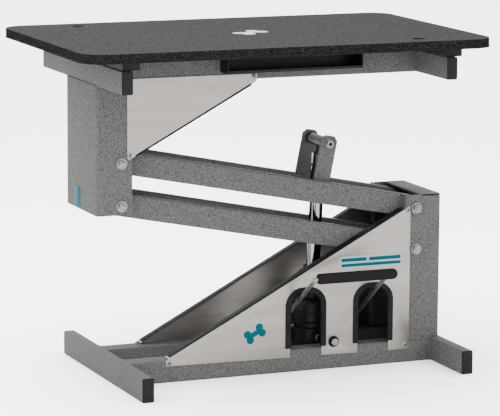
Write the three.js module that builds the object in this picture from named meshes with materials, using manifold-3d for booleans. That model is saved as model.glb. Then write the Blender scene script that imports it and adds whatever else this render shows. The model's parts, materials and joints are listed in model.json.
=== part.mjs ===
// Foot-pumped grooming table: a parallel-arm lift on a welded base.
// Millimetres, +X to the right, +Y to the rear, +Z up, origin on the floor under the middle.
import * as THREE from "three";
import { mergeVertices } from "three/addons/utils/BufferGeometryUtils.js";
import Module from "manifold-3d";

const wasm = await Module();
wasm.setup();

const GAP = 0.3; // between pieces that touch in the real table
const deg = (d) => (d * Math.PI) / 180;

// Tube sections.
const TUBE_W = 28;
const TUBE_H = 56;
const TUBE_WALL = 2.2;
const RAIL_W = 52;
const CAP_T = 3.5;

// Base.
const FOOT_HALF_LENGTH = 291.5;
const FOOT_H = 60;
const LEFT_FOOT_X = [-379, -349];
const RIGHT_FOOT_X = [470, 500];
const RAIL_BOTTOM = 0.4;
const SIDE_Y = 111; // outer face of rails, posts and beams
const POST_WALL = 5;
const POST_LIP = 27;
const RIGHT_POST_X = [395.2, 492];
const RIGHT_POST_TOP = 430;

// Side panels.
const PANEL_T = 1.5;
const PANEL_OUT = SIDE_Y + GAP + PANEL_T;
const FOLD_DEPTH = 27;
const PANEL_OUTLINE = [
  [-252, 42],
  [407, 35],
  [407, 398],
  [401, 402],
  [394, 397],
  [-252, 56.5],
];
const PANEL_LOW = [-252, 56.5];
const PANEL_HIGH = [394, 397];
const PANEL_SCREWS = {
  left: [-243.5, 49.5],
  lower_right: [395.5, 47],
  upper_right: [400, 392.5],
};
const ARCH_X = { left: 122.2, right: 306.4 };
const ARCH_Z = 167; // where the arches' sides start to bend
const ARCH_FLAT = 8.2; // half the flat stretch at the top
const ARCH_OUTER = 55.2;
const ARCH_CUT = 42.6;
const ARCH_INNER = 41;
const ARCH_FLOOR = 61;
const GROMMET = [198.5, 70];

// Lift linkage.
const ARM_LENGTH = 805.3;
const ARM_ANGLE = 11.19;
const PIVOT_SPACING = 104.8;
const RIGHT_PIVOT = [424, 395.8];
const LEFT_PIVOT = [
  RIGHT_PIVOT[0] - ARM_LENGTH * Math.cos(deg(ARM_ANGLE)),
  RIGHT_PIVOT[1] + ARM_LENGTH * Math.sin(deg(ARM_ANGLE)),
];
const ARM_OUTER_Y = 82;
const SLEEVE_R = 14;
const BOLT_R = 7;
const BORE_R = 7.3;
const LIFT_PIN = [249.6, 122.3]; // along and above the upper arm, from its right pivot
const EAR_Y = [55, 61];
const EAR_HALF = 22;
const LIFT_PIN_HEX = 17;

// Pump, rod and pedal.
const PUMP_PIVOT = [183, 70];
const PUMP_TILT = 2.448;
const ROD_R = 17.5;
const ROD_BORE_R = 20.3;
const ROD_LENGTH = 390.6;
const ROD_EYE_NECK = 30;
const PEDAL_AXIS_Z = 95;
const PEDAL_LEGS_X = [99, 296];
const PEDAL_BAR_R = 5.5;
const PEDAL_REACH = 221;
const PEDAL_ANGLE = 36;
const GRIP_R = 13.5;
const GRIP_END_X = 321;

// Carriage.
const LEFT_POST_X = [-430, -338.5];
const LEFT_POST_BOTTOM = 425.6;
const FRAME_Z = 743;
const LEFT_CROSS_X = [-430, -402];
const RIGHT_CROSS_X = [415, 443];
const GUSSET_OUTLINE = [
  [-352, 563.5],
  [-347, 560.5],
  [-340, 564],
  [-19, 735.5],
  [-14.5, 741],
  [-14.5, 757],
  [-352, 757],
];
const GUSSET_LOW = [-340, 564];
const GUSSET_HIGH = [-19, 735.5];
const GUSSET_SCREWS = {
  lower: [-345.5, 570.5],
  right: [-22.7, 750],
};
const BATTEN_X = { left: [-426, -382], right: [414, 458] };
const BATTEN_HALF_LENGTH = 284;
const BATTEN_TOP = 822;
const TABLE_T = 24;
const TABLE_X = 532;
const TABLE_Y = 332;
const TABLE_CORNER = 60;
const TABLE_HOLE = [345, 270, 15.5];
const TRAY_X = [-111, 248];
const TRAY_Y = [-162, -111 - GAP];
const TRAY_Z = 764;

// ---- solids ----

function solid(geometry, matrix) {
  const bare = geometry.index ? geometry.toNonIndexed() : geometry.clone();
  bare.deleteAttribute("normal");
  bare.deleteAttribute("uv");
  if (matrix) bare.applyMatrix4(matrix);
  const merged = mergeVertices(bare, 1e-4);
  const mesh = new wasm.Mesh({
    numProp: 3,
    vertProperties: merged.attributes.position.array,
    triVerts: new Uint32Array(merged.index.array),
  });
  return new wasm.Manifold(mesh);
}

function union(parts) {
  return parts.reduce((a, b) => a.add(b));
}

function without(body, cuts) {
  return cuts.reduce((a, b) => a.subtract(b), body);
}

function turned(body, angleDeg, x, z) {
  return body.rotate([0, angleDeg, 0]).translate([x, 0, z]);
}

function box(x, y, z) {
  const g = new THREE.BoxGeometry(x[1] - x[0], y[1] - y[0], z[1] - z[0]);
  g.translate((x[0] + x[1]) / 2, (y[0] + y[1]) / 2, (z[0] + z[1]) / 2);
  return solid(g);
}

// Outline points run anticlockwise in the plane named by the axis they are pushed along.
const PUSH = {
  x: new THREE.Matrix4().makeBasis(
    new THREE.Vector3(0, 1, 0),
    new THREE.Vector3(0, 0, 1),
    new THREE.Vector3(1, 0, 0),
  ),
  y: new THREE.Matrix4().makeBasis(
    new THREE.Vector3(1, 0, 0),
    new THREE.Vector3(0, 0, 1),
    new THREE.Vector3(0, -1, 0),
  ),
  z: new THREE.Matrix4(),
};

function push(axis, shape, from, to, curveSegments = 8) {
  const depth = to - from;
  const g = new THREE.ExtrudeGeometry(shape, {
    depth,
    bevelEnabled: false,
    curveSegments,
    steps: 1,
  });
  const start = axis === "y" ? -to : from;
  g.translate(0, 0, start);
  return solid(g, PUSH[axis]);
}

function outline(points) {
  return new THREE.Shape(points.map(([a, b]) => new THREE.Vector2(a, b)));
}

function rounded(a, b, r) {
  const s = new THREE.Shape();
  s.moveTo(a[0] + r, b[0]);
  s.lineTo(a[1] - r, b[0]);
  s.absarc(a[1] - r, b[0] + r, r, -Math.PI / 2, 0, false);
  s.lineTo(a[1], b[1] - r);
  s.absarc(a[1] - r, b[1] - r, r, 0, Math.PI / 2, false);
  s.lineTo(a[0] + r, b[1]);
  s.absarc(a[0] + r, b[1] - r, r, Math.PI / 2, Math.PI, false);
  s.lineTo(a[0], b[0] + r);
  s.absarc(a[0] + r, b[0] + r, r, Math.PI, Math.PI * 1.5, false);
  return s;
}

function rectTube(axis, a, b, from, to) {
  const w = TUBE_WALL;
  const outer = push(axis, rounded(a, b, 4), from, to, 2);
  const inner = outline([
    [a[0] + w, b[0] + w],
    [a[1] - w, b[0] + w],
    [a[1] - w, b[1] - w],
    [a[0] + w, b[1] - w],
  ]);
  return outer.subtract(push(axis, inner, from - 1, to + 1));
}

function rod(axis, at, from, to, radius, sides = 24) {
  const g = new THREE.CylinderGeometry(radius, radius, to - from, sides);
  g.translate(0, (from + to) / 2, 0);
  if (axis === "x") g.rotateZ(-Math.PI / 2);
  if (axis === "z") g.rotateX(Math.PI / 2);
  g.translate(...at);
  return solid(g);
}

function hexBar(at, from, to, acrossFlats) {
  return rod("y", at, from, to, acrossFlats / Math.sqrt(3), 6);
}

function bar(a, b, radius, sides = 10) {
  const from = new THREE.Vector3(...a);
  const along = new THREE.Vector3(...b).sub(from);
  const g = new THREE.CylinderGeometry(radius, radius, along.length(), sides);
  const turn = new THREE.Quaternion();
  turn.setFromUnitVectors(new THREE.Vector3(0, 1, 0), along.clone().normalize());
  g.applyQuaternion(turn);
  g.translate(...from.addScaledVector(along, 0.5).toArray());
  return solid(g);
}

function ball(at, radius) {
  return solid(new THREE.SphereGeometry(radius, 10, 8).translate(...at));
}

function mirrorY(body) {
  return body.mirror([0, 1, 0]);
}

// ---- finishes, bodies and nodes ----

// Colour, metalness and roughness of each finish.
const FINISH = {
  hammered_grey: [0x85878a, 0.35, 0.5],
  brushed_stainless: [0xc4c3be, 0.9, 0.35],
  black_plastic: [0x1d1d1f, 0, 0.55],
  black_rubber: [0x202022, 0, 0.8],
  zinc_steel: [0xb9bbbd, 0.9, 0.35],
  chrome: [0xe2e4e6, 1, 0.08],
  black_paint: [0x1a1b1d, 0.2, 0.45],
  batten_wood: [0x1c1c1d, 0, 0.7],
  foam: [0x18181a, 0, 0.9],
  table_top: [0x4b4a49, 0, 0.85],
};

// A moving body's group: at its pivot (x, z), turned about Y.
function bodyGroup(name, [x, z] = [0, 0], angleDeg = 0) {
  const group = new THREE.Group();
  group.name = name;
  group.position.set(x, 0, z);
  group.rotation.y = deg(angleDeg);
  return group;
}

function add(group, name, finish, body) {
  const m = body.getMesh();
  const n = m.numProp;
  const v = new Float32Array(m.numVert * 3);
  for (let i = 0; i < m.numVert; i += 1) {
    v.set(m.vertProperties.subarray(i * n, i * n + 3), i * 3);
  }
  const g = new THREE.BufferGeometry();
  g.setAttribute("position", new THREE.BufferAttribute(v, 3));
  g.setIndex(new THREE.BufferAttribute(new Uint32Array(m.triVerts), 1));
  g.computeVertexNormals();
  const [color, metalness, roughness] = FINISH[finish];
  const material = new THREE.MeshStandardMaterial({ color, metalness, roughness });
  material.name = finish;
  const mesh = new THREE.Mesh(g, material);
  mesh.name = name;
  group.add(mesh);
}

// The piece in front, with its own cuts, and its uncut mirror image at the rear.
function addPair(group, name, finish, front, frontCuts = []) {
  add(group, `front_${name}`, finish, without(front, frontCuts));
  add(group, `rear_${name}`, finish, mirrorY(front));
}

function liftPinPlace() {
  const a = deg(ARM_ANGLE);
  const [along, above] = LIFT_PIN;
  return [
    RIGHT_PIVOT[0] - along * Math.cos(a) + above * Math.sin(a),
    RIGHT_PIVOT[1] + along * Math.sin(a) + above * Math.cos(a),
  ];
}

const RIGHT_LOWER_PIVOT = [RIGHT_PIVOT[0], RIGHT_PIVOT[1] - PIVOT_SPACING];
const LEFT_LOWER_PIVOT = [LEFT_PIVOT[0], LEFT_PIVOT[1] - PIVOT_SPACING];

const base = bodyGroup("base");
const upperArm = bodyGroup("upper_arm", RIGHT_PIVOT, ARM_ANGLE);
const lowerArm = bodyGroup("lower_arm", RIGHT_LOWER_PIVOT, ARM_ANGLE);
const carriage = bodyGroup("carriage");
const pump = bodyGroup("pump", PUMP_PIVOT, PUMP_TILT);
const piston = bodyGroup("piston", liftPinPlace(), PUMP_TILT);
const pedal = bodyGroup("pedal", [0, PEDAL_AXIS_Z]);

// ---- shared pieces ----

function crossTube(x, z, height) {
  const end = FOOT_HALF_LENGTH - CAP_T - GAP;
  return rectTube("y", x, [z, z + height], -end, end);
}

function endCap(x, z, height) {
  const outer = FOOT_HALF_LENGTH;
  const face = push("y", rounded(x, [z, z + height], 4), -outer, -outer + CAP_T, 2);
  const inset = TUBE_WALL + 0.5;
  const plug = box(
    [x[0] + inset, x[1] - inset],
    [-outer + CAP_T - 0.5, -outer + 16],
    [z + inset, z + height - inset],
  );
  return face.add(plug);
}

function addCrossMember(group, name, x, z, height) {
  add(group, name, "hammered_grey", crossTube(x, z, height));
  const front = endCap(x, z, height);
  add(group, `${name}_front_cap`, "black_plastic", front);
  add(group, `${name}_rear_cap`, "black_plastic", mirrorY(front));
}

// Head and washer in front, shank across the post, nut and washer behind.
function pivotBolt([x, z], halfWidth) {
  const at = [x, 0, z];
  const face = halfWidth + GAP;
  return union([
    rod("y", at, -face - 3, face + 3, BOLT_R, 12),
    rod("y", at, -face - 2.6, -face, 14, 18),
    rod("y", at, face, face + 2.6, 14, 18),
    hexBar(at, -face - 10.5, -face - 2.5, 19.5),
    rod("y", at, -face - 16.3, -face - 10.4, 6, 12),
    hexBar(at, face + 2.5, face + 13, 19.5),
    rod("y", at, face + 12.9, face + 17, 6, 12),
  ]);
}

// The wide end of the head lies on the sheet.
function screw([x, z], outY) {
  const head = new THREE.CylinderGeometry(6.6, 4.6, 2.4, 14);
  head.translate(x, -outY - GAP - 1.2, z);
  return solid(head).add(rod("y", [x, 0, z], -outY - GAP - 0.1, -outY + 3.2, 1.9, 8));
}

function screwHole([x, z], depth) {
  return rod("y", [x, 0, z], -SIDE_Y - 4, -SIDE_Y + depth, 2.3, 8);
}

// A band along the edge from a to b, from `low` to `high` above it; `ahead` lengthens both ends.
function bandAlong(a, b, low, high, ahead = 0) {
  const along = new THREE.Vector2(b[0] - a[0], b[1] - a[1]).normalize();
  const at = (p, run, rise) => [
    p[0] + along.x * run - along.y * rise,
    p[1] + along.y * run + along.x * rise,
  ];
  return outline([at(a, -ahead, low), at(b, ahead, low), at(b, ahead, high), at(a, -ahead, high)]);
}

function between(a, b, share) {
  return [a[0] + (b[0] - a[0]) * share, a[1] + (b[1] - a[1]) * share];
}

// ---- base ----

function addFeetAndRails() {
  addCrossMember(base, "left_foot", LEFT_FOOT_X, 0, FOOT_H);
  addCrossMember(base, "right_foot", RIGHT_FOOT_X, 0, FOOT_H);
  const from = LEFT_FOOT_X[1] + GAP;
  const to = RIGHT_FOOT_X[0] - GAP;
  const y = [-SIDE_Y, -SIDE_Y + RAIL_W];
  const rail = rectTube("x", y, [RAIL_BOTTOM, TUBE_H], from, to);
  const { left, lower_right: right } = PANEL_SCREWS;
  addPair(base, "base_rail", "hammered_grey", rail, [screwHole(left, 6), screwHole(right, 6)]);
}

// A channel open to the left, with a lip turned in along each free edge.
function addRightPost() {
  const z = [TUBE_H + GAP, RIGHT_POST_TOP];
  const [left, right] = RIGHT_POST_X;
  const y = SIDE_Y;
  const w = POST_WALL;
  const channel = outline([
    [left, -y],
    [right, -y],
    [right, y],
    [left, y],
    [left, y - POST_LIP],
    [left + w, y - POST_LIP],
    [left + w, y - w],
    [right - w, y - w],
    [right - w, -y + w],
    [left + w, -y + w],
    [left + w, -y + POST_LIP],
    [left, -y + POST_LIP],
  ]);
  const top = box([left + 42, right], [-y, y], [z[1] - 4, z[1]]);
  const body = push("z", channel, ...z).add(top);
  const overFoot = box([RIGHT_FOOT_X[0] - GAP, right + 2], [-y - 2, y + 2], [z[0] - 2, FOOT_H + GAP]);
  const bores = [RIGHT_PIVOT, RIGHT_LOWER_PIVOT].map(([bx, bz]) =>
    rod("y", [bx, 0, bz], -y - 2, y + 2, BORE_R, 14),
  );
  const hole = screwHole(PANEL_SCREWS.upper_right, 8);
  add(base, "right_post", "hammered_grey", without(body, [overFoot, ...bores, hole]));
  add(base, "right_upper_pivot_bolt", "zinc_steel", pivotBolt(RIGHT_PIVOT, y));
  add(base, "right_lower_pivot_bolt", "zinc_steel", pivotBolt(RIGHT_LOWER_PIVOT, y));
}

function archShape(x, halfWidth, bottom) {
  const r = halfWidth - ARCH_FLAT;
  const s = new THREE.Shape();
  s.moveTo(x - halfWidth, bottom);
  s.lineTo(x + halfWidth, bottom);
  s.lineTo(x + halfWidth, ARCH_Z);
  s.absarc(x + ARCH_FLAT, ARCH_Z, r, 0, Math.PI / 2, false);
  s.lineTo(x - ARCH_FLAT, ARCH_Z + r);
  s.absarc(x - ARCH_FLAT, ARCH_Z, r, Math.PI / 2, Math.PI, false);
  s.lineTo(x - halfWidth, bottom);
  return s;
}

// The sheet's slanted edge is folded inwards, and a black strip lies on the fold.
function addSidePanels() {
  const sheet = push("y", outline(PANEL_OUTLINE), -PANEL_OUT, -SIDE_Y - GAP);
  const foldLow = between(PANEL_LOW, PANEL_HIGH, 0.012);
  const foldHigh = between(PANEL_LOW, PANEL_HIGH, 0.993);
  const fold = push(
    "y",
    bandAlong(foldLow, foldHigh, -PANEL_T, 0),
    -PANEL_OUT,
    -PANEL_OUT + FOLD_DEPTH,
  );
  const cuts = Object.values(ARCH_X).map((x) =>
    push("y", archShape(x, ARCH_CUT, 30), -PANEL_OUT - 2, -SIDE_Y + 2, 8),
  );
  for (const place of Object.values(PANEL_SCREWS)) {
    cuts.push(screwHole(place, 2));
  }
  cuts.push(rod("y", [GROMMET[0], 0, GROMMET[1]], -PANEL_OUT - 2, -SIDE_Y + 2, 9, 24));
  addPair(base, "side_panel", "brushed_stainless", sheet.add(fold), cuts);
  const stripLow = between(PANEL_LOW, PANEL_HIGH, 0.018);
  const stripHigh = between(PANEL_LOW, PANEL_HIGH, 0.988);
  const strip = push(
    "y",
    bandAlong(stripLow, stripHigh, GAP, GAP + 2),
    -PANEL_OUT + 4,
    -PANEL_OUT + FOLD_DEPTH - 0.5,
  );
  addPair(base, "panel_edge_trim", "black_rubber", strip);
  for (const [name, place] of Object.entries(PANEL_SCREWS)) {
    add(base, `front_panel_${name}_screw`, "zinc_steel", screw(place, PANEL_OUT));
  }
}

// A rubber channel pressed over the sheet's cut edge.
function addArchTrims() {
  const out = -PANEL_OUT - GAP - 2.6;
  const inn = -SIDE_Y + 2.6;
  for (const [side, x] of Object.entries(ARCH_X)) {
    const ring = push("y", archShape(x, ARCH_OUTER, ARCH_FLOOR), out, inn, 8);
    const opening = push("y", archShape(x, ARCH_INNER, ARCH_FLOOR - 5), out - 2, inn + 2, 8);
    const keep = push("y", archShape(x, ARCH_CUT - 0.4, ARCH_FLOOR - 6), out, inn + 1, 8);
    const slot = push(
      "y",
      archShape(x, ARCH_OUTER + 5, ARCH_FLOOR - 5),
      -PANEL_OUT - GAP,
      -SIDE_Y,
      8,
    ).subtract(keep);
    add(base, `${side}_arch_trim`, "black_rubber", without(ring, [opening, slot]));
  }
}

function addGrommetBolt() {
  const at = [GROMMET[0], 0, GROMMET[1]];
  const face = PANEL_OUT + GAP;
  const ring = union([
    rod("y", at, -face - 2.6, -face, 14.2, 20),
    rod("y", at, -face - 0.1, -SIDE_Y + 0.3, 8.5, 16),
    rod("y", at, -SIDE_Y + 0.2, -SIDE_Y + 2.4, 9.6, 20),
  ]);
  const bore = rod("y", at, -face - 5, -SIDE_Y + 5, 5.3, 12);
  add(base, "panel_bolt_grommet", "black_rubber", ring.subtract(bore));
  const head = -face - 2.6 - GAP;
  const bolt = union([
    hexBar(at, head - 6.5, head, 17),
    rod("y", at, head - 0.1, -SIDE_Y + 12, 5, 12),
    hexBar(at, -SIDE_Y + 2.4 + GAP, -SIDE_Y + 10, 17),
  ]);
  add(base, "panel_hex_bolt", "zinc_steel", bolt);
}

function addPumpMount() {
  const [x, z] = PUMP_PIVOT;
  const inner = SIDE_Y - RAIL_W - GAP;
  const shape = rounded([x - 20, x + 20], [12, z + 13], 10);
  const plate = push("y", shape, -inner, -inner + 5, 5);
  const bracket = plate.subtract(rod("y", [x, 0, z], -inner - 2, -inner + 8, 8.3, 16));
  addPair(base, "pump_bracket", "black_paint", bracket);
  const pin = union([
    rod("y", [x, 0, z], -inner - 5, inner + 5, 8, 16),
    rod("y", [x, 0, z], -inner - 5, -inner - GAP, 12, 16),
    rod("y", [x, 0, z], inner + GAP, inner + 5, 12, 16),
  ]);
  add(base, "pump_pivot_pin", "zinc_steel", pin);
}

// ---- arms ----

// A welded frame from its right pivot: two rails, a sleeve at each pivot and two cross bars.
function armFrame() {
  const r = TUBE_H / 2;
  const y = [-ARM_OUTER_Y, -ARM_OUTER_Y + TUBE_W];
  const stadium = new THREE.Shape();
  stadium.moveTo(-ARM_LENGTH, -r);
  stadium.lineTo(0, -r);
  stadium.absarc(0, 0, r, -Math.PI / 2, Math.PI / 2, false);
  stadium.lineTo(-ARM_LENGTH, r);
  stadium.absarc(-ARM_LENGTH, 0, r, Math.PI / 2, Math.PI * 1.5, false);
  const ends = push("y", stadium, -ARM_OUTER_Y - 1, ARM_OUTER_Y + 1, 9);
  const tube = rectTube("x", y, [-r, r], -ARM_LENGTH - r, r);
  const rails = tube.add(mirrorY(tube)).intersect(ends);
  const sleeveEnd = SIDE_Y - POST_WALL - 0.6;
  const sleeves = [0, -ARM_LENGTH].map((x) =>
    rod("y", [x, 0, 0], -sleeveEnd, sleeveEnd, SLEEVE_R, 16),
  );
  const barEnd = ARM_OUTER_Y - 10;
  const crossBars = [-95, -ARM_LENGTH + 95].map((x) => rod("y", [x, 0, 0], -barEnd, barEnd, 14, 12));
  const bores = [0, -ARM_LENGTH].map((x) => rod("y", [x, 0, 0], -SIDE_Y, SIDE_Y, BORE_R, 12));
  return without(union([rails, ...sleeves, ...crossBars]), bores);
}

function addArms() {
  const frame = armFrame();
  add(upperArm, "upper_arm_frame", "hammered_grey", frame);
  add(lowerArm, "lower_arm_frame", "hammered_grey", frame);
}

function addLiftEars() {
  const [along, above] = LIFT_PIN;
  const foot = TUBE_H / 2 + GAP;
  const top = above + 20.5;
  const shape = outline([
    [-along - EAR_HALF, foot],
    [-along + EAR_HALF, foot],
    [-along + EAR_HALF, top - 11],
    [-along + EAR_HALF - 10, top],
    [-along - EAR_HALF + 10, top],
    [-along - EAR_HALF, top - 11],
  ]);
  const plate = push("y", shape, -EAR_Y[1], -EAR_Y[0]);
  const hole = rod("y", [-along, 0, above], -EAR_Y[1] - 2, -EAR_Y[0] + 2, 8.3, 14);
  addPair(upperArm, "lift_ear", "hammered_grey", plate.subtract(hole));
  const at = [-along, 0, above];
  const out = EAR_Y[1] + GAP;
  const pin = union([
    rod("y", at, -EAR_Y[0] + GAP, EAR_Y[0] - GAP, 10, 20),
    rod("y", at, -out - 1, out + 14, 8, 14),
    rod("y", at, -out - 2.5, -out, 11, 18),
    hexBar(at, -out - 10, -out - 2.4, LIFT_PIN_HEX),
  ]);
  add(upperArm, "lift_pin", "zinc_steel", pin);
  const nut = union([
    rod("y", at, out, out + 2.5, 13, 18),
    hexBar(at, out + 2.4, out + 12, 21),
  ]).subtract(rod("y", at, out - 2, out + 16, 8.3, 14));
  add(upperArm, "lift_pin_nut", "zinc_steel", nut);
}

// ---- pump, rod and pedal ----

// A round body from [radius, height] pairs, bottom to top.
function lathe(profile, sides = 24) {
  const points = profile.map(([r, h]) => new THREE.Vector2(r, h));
  const closed = [new THREE.Vector2(0, profile[0][1]), ...points];
  closed.push(new THREE.Vector2(0, profile[profile.length - 1][1]));
  const g = new THREE.LatheGeometry(closed, sides);
  g.rotateX(Math.PI / 2);
  return solid(g);
}

function addPump() {
  const body = lathe([
    [40, -32],
    [44, -28],
    [44, -20],
    [50, -16],
    [50, 17],
    [62, 17.5],
    [62, 21],
    [50, 21.5],
    [50, 31],
    [62, 31.5],
    [62, 36],
    [50, 36.5],
    [50, 88],
    [46, 94],
  ]);
  const bore = rod("z", [0, 0, 0], 34, 120, ROD_BORE_R, 20);
  const pinHole = rod("y", [0, 0, 0], -80, 80, 8.4, 16);
  // the pedal's shaft lies level across the tilted casting
  const shaft = rod("x", [0, 0, PEDAL_AXIS_Z - PUMP_PIVOT[1]], -90, 90, 8.5, 16);
  const shaftHole = turned(shaft, -PUMP_TILT, 0, 0);
  add(pump, "pump_body", "black_paint", without(body, [bore, pinHole, shaftHole]));
  const cylinder = lathe([
    [33, 94 + GAP],
    [33, 150],
    [37, 152],
    [37, 160],
    [32, 164],
    [26, 166],
    [26, 175],
  ]);
  const through = rod("z", [0, 0, 0], 80, 230, ROD_BORE_R, 20);
  add(pump, "pump_cylinder", "black_paint", cylinder.subtract(through));
}

function addPistonRod() {
  const shaft = lathe([
    [15, -ROD_LENGTH],
    [ROD_R, -ROD_LENGTH + 3],
    [ROD_R, -ROD_EYE_NECK - GAP],
  ]);
  add(piston, "piston_rod", "chrome", shaft);
  const end = EAR_Y[0] - 1.5;
  const eye = union([
    rod("y", [0, 0, 0], -end, end, 14, 20),
    rod("z", [0, 0, 0], -ROD_EYE_NECK, 0, 9, 16),
  ]).subtract(rod("y", [0, 0, 0], -60, 60, 10.4, 20));
  add(piston, "piston_rod_end", "black_paint", eye);
}

// A point of the pedal's bar at its handle, from the pedal's axis.
function pedalPoint(x) {
  return [x, -PEDAL_REACH, PEDAL_REACH * Math.tan(deg(PEDAL_ANGLE))];
}

function addPedal() {
  const [left, right] = PEDAL_LEGS_X;
  const shaft = rod("x", [0, 0, 0], left - 6, right + 6, 8, 16);
  const legs = PEDAL_LEGS_X.map((x) => bar([x, 0, 0], pedalPoint(x), PEDAL_BAR_R));
  const handle = bar(pedalPoint(left), pedalPoint(GRIP_END_X - 6), PEDAL_BAR_R);
  const corner = ball(pedalPoint(left), PEDAL_BAR_R + 0.2);
  add(pedal, "foot_pedal_bar", "zinc_steel", union([shaft, ...legs, handle, corner]));
  // the grip is slit where the right leg joins its bar
  const [, y, z] = pedalPoint(0);
  const from = left + PEDAL_BAR_R + 1;
  const sleeve = rod("x", [0, y, z], from, GRIP_END_X, GRIP_R, 18);
  const bore = rod("x", [0, y, z], from - 2, GRIP_END_X - 5, PEDAL_BAR_R + 0.5, 12);
  const slit = bar([right, 0, 0], pedalPoint(right), 6.2);
  add(pedal, "foot_pedal_grip", "foam", without(sleeve, [bore, slit]));
}

// ---- carriage ----

// A channel open to the right.
function addLeftPost() {
  const [left, right] = LEFT_POST_X;
  const y = SIDE_Y;
  const top = FRAME_Z - GAP;
  const channel = outline([
    [left, -y],
    [right, -y],
    [right, -y + POST_WALL],
    [left + POST_WALL, -y + POST_WALL],
    [left + POST_WALL, y - POST_WALL],
    [right, y - POST_WALL],
    [right, y],
    [left, y],
  ]);
  const lid = box([left, right], [-y, y], [top - 4, top]);
  const body = push("z", channel, LEFT_POST_BOTTOM, top).add(lid);
  const bores = [LEFT_PIVOT, LEFT_LOWER_PIVOT].map(([bx, bz]) =>
    rod("y", [bx, 0, bz], -y - 2, y + 2, BORE_R, 14),
  );
  const hole = screwHole(GUSSET_SCREWS.lower, 8);
  add(carriage, "left_post", "hammered_grey", without(body, [...bores, hole]));
  add(carriage, "left_upper_pivot_bolt", "zinc_steel", pivotBolt(LEFT_PIVOT, y));
  add(carriage, "left_lower_pivot_bolt", "zinc_steel", pivotBolt(LEFT_LOWER_PIVOT, y));
}

function addTopFrame() {
  addCrossMember(carriage, "left_cross_tube", LEFT_CROSS_X, FRAME_Z, TUBE_H);
  addCrossMember(carriage, "right_cross_tube", RIGHT_CROSS_X, FRAME_Z, TUBE_H);
  const from = LEFT_CROSS_X[1] + GAP;
  const to = RIGHT_CROSS_X[0] - GAP;
  const y = [-SIDE_Y, -SIDE_Y + TUBE_W];
  const beam = rectTube("x", y, [FRAME_Z, FRAME_Z + TUBE_H], from, to);
  addPair(carriage, "beam", "hammered_grey", beam, [screwHole(GUSSET_SCREWS.right, 6)]);
  const battenZ = [FRAME_Z + TUBE_H + GAP, BATTEN_TOP];
  for (const [side, x] of Object.entries(BATTEN_X)) {
    const batten = push("y", rounded(x, battenZ, 2), -BATTEN_HALF_LENGTH, BATTEN_HALF_LENGTH, 2);
    add(carriage, `${side}_batten`, "batten_wood", batten);
  }
}

function addGussets() {
  const sheet = push("y", outline(GUSSET_OUTLINE), -PANEL_OUT, -SIDE_Y - GAP);
  const holes = Object.values(GUSSET_SCREWS).map((place) => screwHole(place, 2));
  addPair(carriage, "gusset_panel", "brushed_stainless", sheet, holes);
  for (const [name, place] of Object.entries(GUSSET_SCREWS)) {
    add(carriage, `front_gusset_${name}_screw`, "zinc_steel", screw(place, PANEL_OUT));
  }
  // the trim stops short of the post and of the beam, where nothing fits behind the sheet
  const from = between(GUSSET_LOW, GUSSET_HIGH, 0.97);
  const to = between(GUSSET_LOW, GUSSET_HIGH, 0.03);
  const wall = 1.6;
  const lap = 2.2;
  const outside = -PANEL_OUT - GAP;
  const inside = -SIDE_Y;
  const band = push("y", bandAlong(from, to, -lap, 2), outside - wall, inside + wall);
  const slot = push("y", bandAlong(from, to, -lap - 2, 0.4, 2), outside, inside);
  addPair(carriage, "gusset_edge_trim", "black_rubber", band.subtract(slot));
}

// An open-fronted box with a turned-up lip, hung under the front of the top.
function addTray() {
  const wall = 2;
  const outer = box(TRAY_X, TRAY_Y, [TRAY_Z, BATTEN_TOP]);
  const room = box(
    [TRAY_X[0] + wall, TRAY_X[1] - wall],
    [TRAY_Y[0] - 5, TRAY_Y[1] - wall],
    [TRAY_Z + wall, BATTEN_TOP + 5],
  );
  const lip = box(TRAY_X, [TRAY_Y[0], TRAY_Y[0] + wall], [TRAY_Z, TRAY_Z + 8]);
  add(carriage, "accessory_tray", "black_paint", outer.subtract(room).add(lip));
}

function addTabletop() {
  const z = BATTEN_TOP + GAP;
  const eased = 3;
  const slabShape = rounded([-TABLE_X, TABLE_X], [-TABLE_Y, TABLE_Y], TABLE_CORNER);
  const upperShape = rounded(
    [-TABLE_X + eased, TABLE_X - eased],
    [-TABLE_Y + eased, TABLE_Y - eased],
    TABLE_CORNER - eased,
  );
  const slab = push("z", slabShape, z, z + TABLE_T - 3, 9);
  const upper = push("z", upperShape, z + TABLE_T - 3.1, z + TABLE_T - GAP, 9);
  const [hx, hy, hr] = TABLE_HOLE;
  const holes = [1, -1].map((s) => rod("z", [s * hx, -s * hy, 0], z - 5, z + 40, hr, 20));
  add(carriage, "tabletop", "table_top", without(slab.add(upper), holes));
}

addFeetAndRails();
addRightPost();
addSidePanels();
addArchTrims();
addGrommetBolt();
addPumpMount();
addArms();
addLiftEars();
addPump();
addPistonRod();
addPedal();
addLeftPost();
addTopFrame();
addGussets();
addTray();
addTabletop();

const table = new THREE.Group();
table.name = "grooming_table";
table.add(base, upperArm, lowerArm, carriage, pump, piston, pedal);

export default table;
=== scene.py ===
import json
import math

import bmesh
import bpy
from mathutils import Matrix, Vector


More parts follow.
